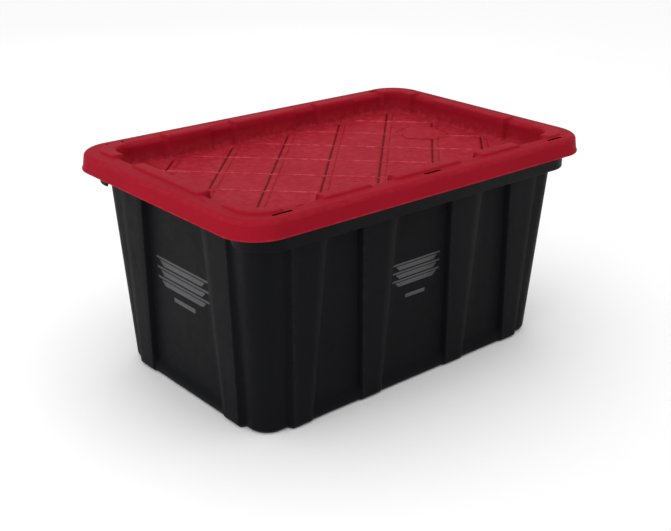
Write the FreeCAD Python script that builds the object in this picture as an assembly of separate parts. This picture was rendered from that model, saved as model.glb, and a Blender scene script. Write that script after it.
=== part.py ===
import FreeCAD, Part
import os
from math import atan, cos, degrees, pi, radians, sin
from FreeCAD import Placement, Rotation, Vector

# Stackable storage bin: a drafted, panelled tub with a snap lid.
# X runs along the long side, Y across it, Z up; the base rests on z = 0.

# Overall sizes (mm)
LENGTH = 777.0            # over the lid skirt, X
WIDTH = 518.0             # over the lid skirt, Y
RIM_HEIGHT = 388.0        # floor to the flat band of the lid
PAD_RISE = 4.0            # stacking pads above that band

# Sheet thicknesses and fits
TUB_WALL = 2.4
TUB_FLOOR = 3.2
LID_SHEET = 2.6
RIM_GAP = 0.4             # lid resting clearance over the tub rim
SNAP_GAP = 0.6            # lid bead to tub rim roll
STACK_GAP = 4.0           # next bin's foot inside the lid recess

# Lid skirt
SKIRT_DROP = 30.0
SKIRT_FLARE = 3.6
SKIRT_ROUND = 7.0
SKIRT_CORNER = 65.0
BEAD_HEIGHT = 2.6
BEAD_OUT = 0.8

# Lid recess and stacking pads
BAND_X = 45.5             # skirt outline to recess wall at the short ends
BAND_Y = 44.0             # skirt outline to recess wall at the long sides
PAD_DEPTH = 11.0          # pads standing into the recess
PAD_WIDTH = 27.0          # pads measured square to the edge
RECESS_DEPTH = 38.0
RECESS_CORNER = 26.0
RECESS_TAPER = 2.0
# pads as parts of LENGTH on a long side and of WIDTH on an end, from the middle
PAD_SPANS = ((-0.286, -0.162), (-0.095, 0.095), (0.162, 0.286))
END_PAD_PART = 0.183
CORNER_PAD_PARTS = (0.3861, 0.3031)

# Lid panel relief
LATTICE_PITCH = 130.0
LATTICE_START = 12.0
GROOVE_WIDTH = 5.0
GROOVE_DEPTH = 1.0
RIDGE_WIDTH = 2.4
RIDGE_RISE = 0.8
PLATE_RADIUS = 52.0
PLATE_AT = (252.0, 40.0)

# Tub body
FOOT_IN_X = STACK_GAP + RECESS_TAPER + 2.0
DRAFT_X = 19.0            # growth per side from floor to rim
DRAFT_Y = 15.0
TUB_CORNER = 36.0
BASE_ROUND = 9.0
PANEL_IN_TOP = 13.0       # panels behind the pilaster faces
PANEL_IN_FOOT = 11.5
CORNER_IN_TOP = 5.0       # corner columns behind the pilaster faces
CORNER_IN_FOOT = 10.0
STEP_RUN = 5.0            # slope run of each step in the wall
# pilasters as parts of LENGTH or WIDTH: (inner foot, inner top, outer foot, outer top)
LONG_PILASTERS = ((0.103, 0.078, 0.155, 0.18), (0.299, 0.268, 0.345, 0.3655))
END_PILASTERS = ((0.208, 0.164, 0.2857, 0.2935),)

# Tub rim
LIP_IN_X = 29.0           # lip face inside the skirt outline, short ends
LIP_IN_Y = 14.0           # lip face inside the skirt outline, long sides
LIP_CORNER = 55.0
LIP_DROP = 53.0           # rim top to the lower edge of the lip
GRIP_DROP = 32.0          # the same at the hand grips
GRIP_PART = 0.34          # hand grip half-width as a part of WIDTH
ROLL_OUT = 4.6
ROLL_HEIGHT = 11.0
GUSSET = 2.6
LONG_GUSSETS = (0.044, 0.224, 0.317)
END_GUSSETS = (0.077, 0.228)

# Tie slots
SLOT_LENGTH = 37.0
SLOT_WIDTH = 6.0
SLOT_PITCH_PART = 0.3964  # slot pitch as a part of LENGTH
SLOT_IN = 23.5            # slot centre line inside the skirt outline
TUB_SLOT_EXTRA = 3.0      # tub slot wider than the lid slot, each side
TUB_SLOT_REACH = 4.5      # tub slot longer than the lid slot, each end

# Marks on the four faces: a stack of three trays over a short bar
MARK_FILM = 0.4
END_MARK_PARTS = (0.2896, 0.1418)    # width and height as parts of WIDTH and RIM_HEIGHT
SIDE_MARK_PARTS = (0.1416, 0.116)    # the same as parts of LENGTH and RIM_HEIGHT
MARK_LEVELS = (0.5412, 0.4278)       # middles of the stack and of the bar, parts of RIM_HEIGHT
BAR_PART = (0.42, 0.3)

# Values that follow
HALF_L = LENGTH / 2
HALF_W = WIDTH / 2
RECESS_X = HALF_L - BAND_X
RECESS_Y = HALF_W - BAND_Y
RIM_TOP = RIM_HEIGHT - LID_SHEET - RIM_GAP
SKIRT_FOOT = RIM_HEIGHT - SKIRT_DROP
PANEL_TOP = RIM_HEIGHT - RECESS_DEPTH
FOOT_X = RECESS_X - FOOT_IN_X
FOOT_Y = RECESS_Y - STACK_GAP
SLOT_Y = HALF_W - SLOT_IN
LIP_X = HALF_L - LIP_IN_X
LIP_Y = HALF_W - LIP_IN_Y
CORNER_PAD_X = LENGTH * CORNER_PAD_PARTS[0]
CORNER_PAD_Y = WIDTH * CORNER_PAD_PARTS[1]
END_PAD = WIDTH * END_PAD_PART
GRIP_HALF = WIDTH * GRIP_PART
LONG_PADS = tuple((LENGTH * a, LENGTH * b) for a, b in PAD_SPANS)
MARK_Z, BAR_Z = (RIM_HEIGHT * part for part in MARK_LEVELS)
END_MARK = (WIDTH * END_MARK_PARTS[0], RIM_HEIGHT * END_MARK_PARTS[1])
SIDE_MARK = (LENGTH * SIDE_MARK_PARTS[0], RIM_HEIGHT * SIDE_MARK_PARTS[1])
SLOT_X = tuple(LENGTH * SLOT_PITCH_PART * k for k in (-1, 0, 1))


def rounded_outline(half_x, half_y, radius, z):
    """Closed rounded-rectangle wire at height z."""
    return stepped_outline(half_x, half_y, radius, z, (), ())


def stepped_outline(half_x, half_y, radius, z, long_steps, end_steps):
    """Closed wire: a rounded rectangle whose sides follow (position, inset) steps.

    Steps are listed for the positive half of a side, from its middle outwards.
    """
    edges = []
    points_long = mirrored(long_steps, half_x - radius)
    points_end = mirrored(end_steps, half_y - radius)
    corner = corner_inset(long_steps)
    sides = (
        [Vector(s, -half_y + d, z) for s, d in points_long],
        [Vector(half_x - d, s, z) for s, d in points_end],
        [Vector(-s, half_y - d, z) for s, d in points_long],
        [Vector(-half_x + d, -s, z) for s, d in points_end],
    )
    turns = ((1, -1), (1, 1), (-1, 1), (-1, -1))
    bend = radius - corner
    for index, side in enumerate(sides):
        for start, end in zip(side, side[1:]):
            edges.append(Part.makeLine(start, end))
        sx, sy = turns[index]
        centre = Vector(sx * (half_x - radius), sy * (half_y - radius), z)
        middle = centre + Vector(sx, sy, 0) * (bend * cos(pi / 4))
        following = sides[(index + 1) % 4][0]
        edges.append(Part.Arc(side[-1], middle, following).toShape())
    return Part.Wire(edges)


def corner_inset(steps):
    """Inset carried by a stepped side where it meets the corner."""
    return steps[-1][1] if steps else 0.0


def mirrored(steps, reach):
    """Full list of (position, inset) along one side from the half list."""
    inset = corner_inset(steps)
    half = list(steps) + [(reach, inset)]
    return [(-s, d) for s, d in reversed(half)] + half


def plug(sections):
    """Solid skinned straight between closed wires."""
    return Part.makeLoft(sections, True, True)


def tray(half_x, half_y, radius, levels):
    """Solid through rounded rectangles at (z, inset) levels."""
    return plug([rounded_outline(half_x - d, half_y - d, radius - d, z) for z, d in levels])


def box(x0, x1, y0, y1, z0, z1):
    """Box from its limits."""
    return Part.makeBox(x1 - x0, y1 - y0, z1 - z0, Vector(x0, y0, z0))


def side_steps(pilasters, span, part, skin, panel_in, corner_in):
    """Steps of a tub wall: panels set back between pilasters, column at the corner.

    span is the side's overall length, part runs from 0 at the foot to 1 at the rim
    and skin is the inward offset in use.
    """
    shift = skin * 0.65
    steps = []
    for inner_foot, inner_top, outer_foot, outer_top in pilasters:
        inner = span * (inner_foot + (inner_top - inner_foot) * part) + shift
        outer = span * (outer_foot + (outer_top - outer_foot) * part) - shift
        last = pilasters[-1][0] == inner_foot
        behind = corner_in if last else panel_in
        steps += [(inner - STEP_RUN, panel_in), (inner, 0.0)]
        steps += [(outer, 0.0), (outer + STEP_RUN, behind)]
    return steps


def tub_outline(z, skin, squeeze):
    """Tub wall outline at height z, moved in by skin plus squeeze."""
    part = z / RIM_TOP
    panel_in = PANEL_IN_FOOT + (PANEL_IN_TOP - PANEL_IN_FOOT) * part
    corner_in = CORNER_IN_FOOT + (CORNER_IN_TOP - CORNER_IN_FOOT) * part
    half_x = FOOT_X + DRAFT_X * part - skin - squeeze
    half_y = FOOT_Y + DRAFT_Y * part - skin - squeeze
    radius = TUB_CORNER + corner_in - skin - squeeze
    long_steps = side_steps(LONG_PILASTERS, LENGTH, part, skin, panel_in, corner_in)
    end_steps = side_steps(END_PILASTERS, WIDTH, part, skin, panel_in, corner_in)
    return stepped_outline(half_x, half_y, radius, z, long_steps, end_steps)


def tub_body(skin, z_floor, z_top):
    """Solid inside the tub wall surface with its rounded foot."""
    curve = BASE_ROUND - skin
    turns = [radians(a) for a in (0, 30, 60, 90)]
    sections = []
    for turn in turns:
        squeeze = curve * (1 - sin(turn))
        sections.append(tub_outline(z_floor + curve * (1 - cos(turn)), skin, squeeze))
    sections.append(tub_outline(z_top, skin, 0.0))
    return plug(sections)


def slots(reach, extra, z0, z1):
    """Round-ended tie-slot cutters on both long sides."""
    half = SLOT_LENGTH / 2 + reach
    wide = SLOT_WIDTH / 2 + extra
    cutters = []
    for x in SLOT_X:
        for side in (-1, 1):
            y = side * SLOT_Y
            cutters.append(box(x - half + wide, x + half - wide, y - wide, y + wide, z0, z1))
            for end in (-1, 1):
                foot = Vector(x + end * (half - wide), y, z0)
                cutters.append(Part.makeCylinder(wide, z1 - z0, foot))
    return cutters


def rim_lip():
    """Turned-down lip round the tub with its roll, raised at the hand grips."""
    foot = RIM_TOP - LIP_DROP
    outer = tray(LIP_X, LIP_Y, LIP_CORNER, ((foot, 0.0), (RIM_TOP, 0.0)))
    roll = tray(LIP_X + ROLL_OUT, LIP_Y + ROLL_OUT, LIP_CORNER + ROLL_OUT,
                ((RIM_TOP - ROLL_HEIGHT, 1.6), (RIM_TOP - ROLL_HEIGHT + 2, 0.0),
                 (RIM_TOP - 2.2, 0.0), (RIM_TOP, 2.6)))
    hollow = tray(LIP_X - TUB_WALL, LIP_Y - TUB_WALL, LIP_CORNER - TUB_WALL,
                  ((foot - 1, 0.0), (RIM_TOP - TUB_WALL, 0.0)))
    lip = outer.fuse(roll).cut(hollow)
    for side in (-1, 1):
        near, far = sorted((side * (LIP_X - 20), side * (LIP_X + 20)))
        lip = lip.cut(box(near, far, -GRIP_HALF, GRIP_HALF, foot - 1, RIM_TOP - GRIP_DROP))
    return lip


def gussets():
    """Upright webs between the tub wall and the lip."""
    webs = []
    z1 = RIM_TOP - TUB_WALL / 2
    for x in [side * g * LENGTH for g in LONG_GUSSETS for side in (-1, 1)]:
        for side in (-1, 1):
            y0, y1 = sorted((side * (FOOT_Y - 6), side * (LIP_Y - TUB_WALL / 2)))
            webs.append(box(x - GUSSET / 2, x + GUSSET / 2, y0, y1, z1 - LIP_DROP + 6, z1))
    for y in [side * g * WIDTH for g in END_GUSSETS for side in (-1, 1)]:
        for side in (-1, 1):
            x0, x1 = sorted((side * (FOOT_X - 2), side * (LIP_X - TUB_WALL / 2)))
            webs.append(box(x0, x1, y - GUSSET / 2, y + GUSSET / 2, z1 - GRIP_DROP + 6, z1))
    return webs


def make_tub():
    """Drafted tub with stepped walls, turned-down rim lip and tie slots."""
    body = tub_body(0.0, 0.0, RIM_TOP)
    body = body.fuse([rim_lip()] + gussets())
    body = body.cut(tub_body(TUB_WALL, TUB_FLOOR, RIM_TOP + 1))
    body = body.cut(slots(TUB_SLOT_REACH, TUB_SLOT_EXTRA, RIM_TOP - LIP_DROP, RIM_TOP + 1))
    return body.removeSplitter()


def recess_steps(pads, corner_from, skin):
    """Steps of the lid recess: pads stand inwards, gaps reach to the band."""
    shift = skin * 0.6
    steps = []
    for start, end in pads:
        if start > 0:
            steps += [(start - STEP_RUN / 2 + shift, 0.0), (start + STEP_RUN / 2 + shift, PAD_DEPTH)]
        steps += [(end - STEP_RUN / 2 - shift, PAD_DEPTH), (end + STEP_RUN / 2 - shift, 0.0)]
    steps += [(corner_from - STEP_RUN / 2 + shift, 0.0), (corner_from + STEP_RUN / 2 + shift, PAD_DEPTH)]
    return steps


def recess_outline(z, skin):
    """Recess wall outline at height z, moved outwards by skin."""
    taper = RECESS_TAPER * (RIM_HEIGHT - z) / RECESS_DEPTH
    long_steps = recess_steps([p for p in LONG_PADS if p[1] > 0], CORNER_PAD_X, skin)
    end_steps = recess_steps([(-END_PAD, END_PAD)], CORNER_PAD_Y, skin)
    half_x = RECESS_X - taper + skin
    half_y = RECESS_Y - taper + skin
    radius = RECESS_CORNER + PAD_DEPTH - taper + skin
    return stepped_outline(half_x, half_y, radius, z, long_steps, end_steps)


def skirt_levels(skin, foot):
    """(z, inset) levels of the lid skirt and its rounded shoulder."""
    top = RIM_HEIGHT - skin
    curve = SKIRT_ROUND - skin
    levels = [(foot, skin)]
    for turn in (0, 30, 60, 90):
        turn = radians(turn)
        levels.append((top - curve + curve * sin(turn), skin + SKIRT_FLARE + curve * (1 - cos(turn))))
    return levels


def pad_blocks(skin, z_top, z_foot):
    """Raised pad bars on the band, moved in by skin."""
    blocks = []
    lean = 2.0
    inner_y = RECESS_Y - PAD_DEPTH
    inner_x = RECESS_X - PAD_DEPTH
    for start, end in LONG_PADS:
        for side in (-1, 1):
            y0, y1 = sorted((side * (inner_y + skin), side * (inner_y + PAD_WIDTH - skin)))
            blocks.append(bar(start + skin, end - skin, y0, y1, z_foot, z_top, lean))
    for side in (-1, 1):
        x0, x1 = sorted((side * (inner_x + skin), side * (inner_x + PAD_WIDTH - skin)))
        blocks.append(bar(x0, x1, -END_PAD + skin, END_PAD - skin, z_foot, z_top, lean))
    return blocks


def bar(x0, x1, y0, y1, z0, z1, lean):
    """Bar with its top edges leaning in."""
    sections = []
    for z, d in ((z0, 0.0), (z1 - lean, 0.0), (z1, lean)):
        corners = ((x0 + d, y0 + d), (x1 - d, y0 + d), (x1 - d, y1 - d), (x0 + d, y1 - d))
        ring = [Vector(x, y, z) for x, y in corners]
        sections.append(Part.makePolygon(ring + ring[:1]))
    return plug(sections)


def corner_pads(skin, z_top, z_foot):
    """Raised pads wrapped round the four corners, moved in by skin."""
    outer_in = PAD_WIDTH - PAD_DEPTH
    ring = tray(RECESS_X + outer_in - skin, RECESS_Y + outer_in - skin,
                RECESS_CORNER + PAD_WIDTH - skin,
                ((z_foot, 0.0), (z_top - 2, 0.0), (z_top, 2.0)))
    inner = tray(RECESS_X - PAD_DEPTH + skin, RECESS_Y - PAD_DEPTH + skin,
                 RECESS_CORNER + skin, ((z_foot - 1, 0.0), (z_top + 1, 0.0)))
    ring = ring.cut(inner)
    pads = []
    for sx in (-1, 1):
        for sy in (-1, 1):
            x0, x1 = sorted((sx * (CORNER_PAD_X + skin), sx * HALF_L))
            y0, y1 = sorted((sy * (CORNER_PAD_Y + skin), sy * HALF_W))
            pads.append(ring.common(box(x0, x1, y0, y1, z_foot - 2, z_top + 2)))
    return pads


def lattice(offset, along, wide, z0, z1):
    """Diagonal strip on the panel; along is 1 for y = x + offset, -1 for y = -x + offset."""
    reach = LENGTH
    strip = box(-reach, reach, -wide / 2, wide / 2, z0, z1)
    strip.Placement = Placement(Vector(0, offset, 0), Rotation(Vector(0, 0, 1), 45 * along))
    return strip


def panel_relief(body):
    """Lid panel with grooves one way, fine ridges the other and a plain plate."""
    steps = range(-3, 4)
    field = plug([recess_outline(PANEL_TOP - 1.5, -1.5), recess_outline(PANEL_TOP + 2, -1.5)])
    ridges = [lattice(LATTICE_START + k * LATTICE_PITCH, -1, RIDGE_WIDTH, PANEL_TOP - 1,
                      PANEL_TOP + RIDGE_RISE) for k in steps]
    body = body.fuse([r.common(field) for r in ridges])
    grooves = [lattice(LATTICE_START + k * LATTICE_PITCH, 1, GROOVE_WIDTH,
                       PANEL_TOP - GROOVE_DEPTH, PANEL_TOP + 2) for k in steps]
    body = body.cut([g.common(field) for g in grooves])
    corners = [Vector(PLATE_AT[0] + PLATE_RADIUS * cos(radians(60 * k + 15)),
                      PLATE_AT[1] + PLATE_RADIUS * sin(radians(60 * k + 15)),
                      PANEL_TOP - GROOVE_DEPTH) for k in range(6)]
    plate = Part.Face(Part.makePolygon(corners + corners[:1]))
    return body.fuse(plate.extrude(Vector(0, 0, GROOVE_DEPTH + RIDGE_RISE)))


def make_lid():
    """Snap lid: flared skirt, flat band, stacking pads and deep relief panel."""
    cap = tray(HALF_L, HALF_W, SKIRT_CORNER, skirt_levels(0.0, SKIRT_FOOT))
    bead = tray(HALF_L, HALF_W, SKIRT_CORNER,
                ((SKIRT_FOOT, 0.0), (SKIRT_FOOT + BEAD_HEIGHT, 0.0),
                 (SKIRT_FOOT + BEAD_HEIGHT + BEAD_OUT, BEAD_OUT + 0.4)))
    hollow = tray(HALF_L, HALF_W, SKIRT_CORNER, skirt_levels(LID_SHEET, SKIRT_FOOT - 1))
    well = plug([recess_outline(PANEL_TOP - LID_SHEET, LID_SHEET),
                 recess_outline(RIM_HEIGHT, LID_SHEET)])
    top = RIM_HEIGHT + PAD_RISE
    pads = pad_blocks(0.0, top, RIM_HEIGHT - 1) + corner_pads(0.0, top, RIM_HEIGHT - 1)
    under = RIM_HEIGHT - LID_SHEET - 1
    cores = pad_blocks(LID_SHEET, top - LID_SHEET, under)
    cores += corner_pads(LID_SHEET, top - LID_SHEET, under)
    shell = cap.fuse(bead).cut(hollow)
    shell = shell.fuse([well] + pads)
    basin = plug([recess_outline(PANEL_TOP, 0.0), recess_outline(RIM_HEIGHT, 0.0)])
    above = tray(RECESS_X - PAD_DEPTH, RECESS_Y - PAD_DEPTH, RECESS_CORNER,
                 ((RIM_HEIGHT - 1, 0.0), (top + 1, 0.0)))
    shell = shell.cut([basin, above])
    shell = shell.cut([c.cut(basin) for c in cores])
    shell = shell.cut(slots(0.0, 0.0, SKIRT_FOOT, top + 1))
    return panel_relief(shell).fuse(snap_bead()).removeSplitter()


def snap_bead():
    """Bead inside the skirt that sits under the tub's rim roll."""
    top = RIM_TOP - ROLL_HEIGHT - SNAP_GAP
    ring = tray(HALF_L - 1.5, HALF_W - 1.5, SKIRT_CORNER - 1.5, ((top - 4, 0.0), (top, 0.0)))
    reach = ROLL_OUT + SNAP_GAP
    inner = tray(LIP_X + reach, LIP_Y + reach, LIP_CORNER + reach, ((top - 5, 0.0), (top + 1, 0.0)))
    return ring.cut(inner)


def stack_icon(width, height):
    """Three nested trays over a short bar, drawn upright in the XZ plane."""
    rows = 3
    pitch = height / rows
    shapes = []
    for row in range(rows):
        foot = MARK_Z - height / 2 + row * pitch
        lid_z = foot + pitch * 0.62
        shapes.append(trapeze(width * 0.74, width * 0.88, foot, lid_z - pitch * 0.1))
        shapes.append(trapeze(width, width, lid_z, lid_z + pitch * 0.22))
    bar_half = height * BAR_PART[1] / 4
    shapes.append(trapeze(width * BAR_PART[0], width * BAR_PART[0], BAR_Z - bar_half, BAR_Z + bar_half))
    return Part.makeCompound(shapes)


def trapeze(foot, top, z0, z1):
    """Film patch in the XZ plane, thickness along -Y."""
    corners = ((-foot / 2, z0), (foot / 2, z0), (top / 2, z1), (-top / 2, z1))
    ring = [Vector(x, 0, z) for x, z in corners]
    return Part.Face(Part.makePolygon(ring + ring[:1])).extrude(Vector(0, -MARK_FILM, 0))


def make_mark(turn, size, foot_half, draft):
    """Mark laid on a recessed panel of the face turned by the given angle."""
    icon = stack_icon(*size)
    foot = foot_half - PANEL_IN_FOOT
    grow = draft - PANEL_IN_TOP + PANEL_IN_FOOT
    lean = degrees(atan(grow / RIM_TOP))
    icon.Placement = Placement(Vector(0, -foot, 0), Rotation(Vector(1, 0, 0), lean))
    whole = Placement(Vector(0, 0, 0), Rotation(Vector(0, 0, 1), turn))
    icon.Placement = whole.multiply(icon.Placement)
    return icon


def export(name, shape):
    """Write one node."""
    shape.exportStep("parts/" + name + ".step")
    box_ = shape.BoundBox
    print(name, shape.isValid(), len(shape.Solids), round(shape.Volume / 1000, 1),
          [round(v, 2) for v in (box_.XMin, box_.XMax, box_.YMin, box_.YMax, box_.ZMin, box_.ZMax)])


def main():
    """Build and write every node."""
    os.makedirs("parts", exist_ok=True)
    export("tub", make_tub())
    export("lid", make_lid())
    faces = (("mark_front", 0, SIDE_MARK, FOOT_Y, DRAFT_Y), ("mark_right", 90, END_MARK, FOOT_X, DRAFT_X),
             ("mark_back", 180, SIDE_MARK, FOOT_Y, DRAFT_Y), ("mark_left", 270, END_MARK, FOOT_X, DRAFT_X))
    for name, turn, size, foot_half, draft in faces:
        export(name, make_mark(turn, size, foot_half, draft))


main()
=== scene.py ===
import logging
import math
from dataclasses import dataclass, field
from enum import Enum

import bmesh
import bpy
import numpy as np
from mathutils import Matrix, Vector
from mathutils.geometry import delaunay_2d_cdt


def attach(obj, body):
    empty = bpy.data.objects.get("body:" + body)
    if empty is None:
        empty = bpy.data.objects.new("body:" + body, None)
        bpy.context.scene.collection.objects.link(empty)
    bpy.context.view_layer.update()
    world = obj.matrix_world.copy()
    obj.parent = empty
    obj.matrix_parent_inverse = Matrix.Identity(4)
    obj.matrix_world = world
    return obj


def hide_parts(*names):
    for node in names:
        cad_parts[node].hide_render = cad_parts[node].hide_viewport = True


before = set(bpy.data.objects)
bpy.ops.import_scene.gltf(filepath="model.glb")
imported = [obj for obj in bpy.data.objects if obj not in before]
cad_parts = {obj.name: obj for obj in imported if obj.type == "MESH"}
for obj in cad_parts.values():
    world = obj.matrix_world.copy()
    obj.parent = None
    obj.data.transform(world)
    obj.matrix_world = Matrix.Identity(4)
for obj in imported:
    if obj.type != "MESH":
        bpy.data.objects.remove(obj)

logging.basicConfig(level=logging.INFO, format="%(name)s: %(message)s")
log = logging.getLogger("storage_bin")

MM = 0.001
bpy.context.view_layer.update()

Triple = tuple[float, float, float]


class Side(Enum):
    """The four faces of the bin, as quarter turns from the front."""

    FRONT = 0
    RIGHT = 1
    BACK = 2
    LEFT = 3


class Slot(Enum):
    """Material slots of the record."""

    TUB = "tub_plastic"
    LID = "lid_plastic"
    MARK = "mark_film"


# ---------------------------------------------------------------- helpers


def ramp(x: float, soft: float) -> float:
    """Straight slope from 0 to 1 with rounded ends.

    Args:
        x: place along the slope, 0 at its foot and 1 at its head.
        soft: share of the slope that each rounded end takes.

    Returns:
        Height on the slope, 0 to 1.
    """
    if x <= 0.0:
        return 0.0
    if x >= 1.0:
        return 1.0
    if x < soft:
        return x * x / (2.0 * soft * (1.0 - soft))
    if x > 1.0 - soft:
        return 1.0 - (1.0 - x) ** 2 / (2.0 * soft * (1.0 - soft))
    return (x - soft / 2.0) / (1.0 - soft)


def arc(centre: tuple[float, float], radius: float, start: float, stop: float,
        count: int) -> list[tuple[float, float]]:
    """Points of a circular arc in a section plane.

    Args:
        centre: centre of the arc as (across, up).
        radius: arc radius.
        start: first angle in degrees.
        stop: last angle in degrees.
        count: number of points, both ends included.

    Returns:
        The points as (across, up) pairs.
    """
    turns = np.radians(np.linspace(start, stop, count))
    return [(centre[0] + radius * math.cos(a), centre[1] + radius * math.sin(a)) for a in turns]


@dataclass(frozen=True)
class Edge:
    """One step in a wall: where it is at the foot and at the rim, and what it leads to."""

    foot: float
    rim: float
    before: Triple
    after: Triple


@dataclass
class Path:
    """Stations round a rounded rectangle, shared by every row of a swept body.

    A station on a side has a fixed place, or slides with the reach of the side; a station
    in a corner has an angle. Weights say how far it belongs to each stepped zone.
    """

    long_edges: list[Edge]
    end_edges: list[Edge]
    corner: Triple
    middle: Triple
    run: float
    soft: float = 0.3
    edge_count: int = 11
    flat_step: float = 16.0
    corner_count: int = 26
    reach_count: int = 8
    side: np.ndarray = field(init=False)
    foot: np.ndarray = field(init=False)
    rim: np.ndarray = field(init=False)
    slide: np.ndarray = field(init=False)
    angle: np.ndarray = field(init=False)
    weight: np.ndarray = field(init=False)

    def __post_init__(self) -> None:
        """Lay the stations out side by side, each side followed by its corner."""
        rows: list[tuple] = []
        for side in Side:
            edges = self.end_edges if side.value % 2 else self.long_edges
            half = self._half(edges)
            mirror = [(-f, -r, s, w) for f, r, s, w in reversed(half[1:])]
            rows += [(side.value, f, r, s, math.nan, w) for f, r, s, w in mirror + half]
            for k in range(1, self.corner_count):
                rows.append((side.value, 0.0, 0.0, 0.0, k / self.corner_count, self.corner))
        self.side = np.array([r[0] for r in rows])
        self.foot = np.array([r[1] for r in rows])
        self.rim = np.array([r[2] for r in rows])
        self.slide = np.array([r[3] for r in rows])
        self.angle = np.array([r[4] for r in rows])
        self.weight = np.array([r[5] for r in rows])

    def _half(self, edges: list[Edge]) -> list[tuple]:
        """Stations from the middle of a side to its corner as (foot, rim, slide, weight).

        Args:
            edges: the steps on one half of the side.

        Returns:
            The stations.
        """
        out: list[tuple] = [(0.0, 0.0, 0.0, self.middle)]
        last_foot, last_rim, zone = 0.0, 0.0, self.middle
        for edge in edges:
            begin_foot, begin_rim = edge.foot - self.run / 2, edge.rim - self.run / 2
            out += self._flat(last_foot, last_rim, begin_foot, begin_rim, zone)
            for k in range(self.edge_count):
                x = k / (self.edge_count - 1)
                mix = ramp(x, self.soft)
                weight = tuple(a + (b - a) * mix for a, b in zip(edge.before, edge.after))
                out.append((begin_foot + x * self.run, begin_rim + x * self.run, 0.0, weight))
            last_foot, last_rim, zone = edge.foot + self.run / 2, edge.rim + self.run / 2, edge.after
        for k in range(1, self.reach_count + 1):
            out.append((last_foot, last_rim, k / self.reach_count, self.corner))
        return out

    def _flat(self, foot0: float, rim0: float, foot1: float, rim1: float, zone: Triple) -> list[tuple]:
        """Stations spread over a flat between two steps, ends left out.

        Args:
            foot0: start of the flat at the foot.
            rim0: start at the rim.
            foot1: end at the foot.
            rim1: end at the rim.
            zone: the weights there.

        Returns:
            The stations.
        """
        count = max(1, int(abs(rim1 - rim0) / self.flat_step))
        out = []
        for k in range(1, count):
            x = k / count
            out.append((foot0 + (foot1 - foot0) * x, rim0 + (rim1 - rim0) * x, 0.0, zone))
        return out

    @property
    def count(self) -> int:
        """Number of stations."""
        return len(self.side)

    def ring(self, half: tuple[float, float], radius: float, z: np.ndarray | float,
             inset: np.ndarray | float = 0.0, part: float = 1.0) -> np.ndarray:
        """Points of one row.

        Args:
            half: half-length and half-width of the outline, before insets.
            radius: corner radius of the outline, before insets.
            z: height, one value or one for each station.
            inset: how far each station stands inside the outline.
            part: 0 uses the foot places of the steps, 1 the rim places.

        Returns:
            An array of (station, 3) points in millimetres.
        """
        half_x, half_y = half
        inset = np.broadcast_to(np.asarray(inset, float), (self.count,))
        is_end = self.side % 2 == 1
        along = np.where(is_end, half_y, half_x)
        across = np.where(is_end, half_x, half_y)
        reach = along - radius
        place = self.foot + (self.rim - self.foot) * part
        s = place + np.sign(place) * self.slide * (reach - np.abs(place))
        local_x, local_y = s.copy(), -across + inset
        bend = ~np.isnan(self.angle)
        turn = -math.pi / 2 + np.where(bend, self.angle, 0.0) * math.pi / 2
        local_x = np.where(bend, reach + (radius - inset) * np.cos(turn), local_x)
        local_y = np.where(bend, -(across - radius) + (radius - inset) * np.sin(turn), local_y)
        quarter = self.side * math.pi / 2
        x = local_x * np.cos(quarter) - local_y * np.sin(quarter)
        y = local_x * np.sin(quarter) + local_y * np.cos(quarter)
        return np.stack([x, y, np.broadcast_to(np.asarray(z, float), (self.count,))], axis=1)


def skin_rows(rows: list[np.ndarray], caps: bool = True) -> tuple[np.ndarray, list[tuple[int, ...]]]:
    """Join rows of points into quads.

    Args:
        rows: arrays of (station, 3) points, all the same length.
        caps: close the first and the last row with one face each.

    Returns:
        The points and the faces.
    """
    count = len(rows[0])
    faces: list[tuple[int, ...]] = []
    for r in range(len(rows) - 1):
        a, b = r * count, (r + 1) * count
        for k in range(count):
            n = (k + 1) % count
            faces.append((a + k, a + n, b + n, b + k))
    if caps:
        faces.append(tuple(reversed(range(count))))
        top = (len(rows) - 1) * count
        faces.append(tuple(range(top, top + count)))
    return np.concatenate(rows), faces


def mesh_object(name: str, points: np.ndarray, faces: list[tuple[int, ...]],
                crease: float = 40.0) -> bpy.types.Object:
    """Make a smooth-shaded object from points in millimetres.

    Args:
        name: object name.
        points: the vertices.
        faces: the faces.
        crease: angle in degrees above which an edge stays sharp.

    Returns:
        The new object, linked to the scene.
    """
    mesh = bpy.data.meshes.new(name)
    mesh.from_pydata((points * MM).tolist(), [], faces)
    bm = bmesh.new()
    bm.from_mesh(mesh)
    bmesh.ops.remove_doubles(bm, verts=bm.verts, dist=1e-6)
    bmesh.ops.recalc_face_normals(bm, faces=bm.faces)
    bm.to_mesh(mesh)
    bm.free()
    smooth(mesh, crease)
    obj = bpy.data.objects.new(name, mesh)
    bpy.context.scene.collection.objects.link(obj)
    return obj


def smooth(mesh: bpy.types.Mesh, crease: float) -> None:
    """Smooth shading with sharp edges kept above the crease angle in degrees.

    Args:
        mesh: the mesh.
        crease: angle in degrees above which an edge stays sharp.
    """
    mesh.polygons.foreach_set("use_smooth", [True] * len(mesh.polygons))
    mesh.set_sharp_from_angle(angle=math.radians(crease))
    mesh.update()


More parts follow.
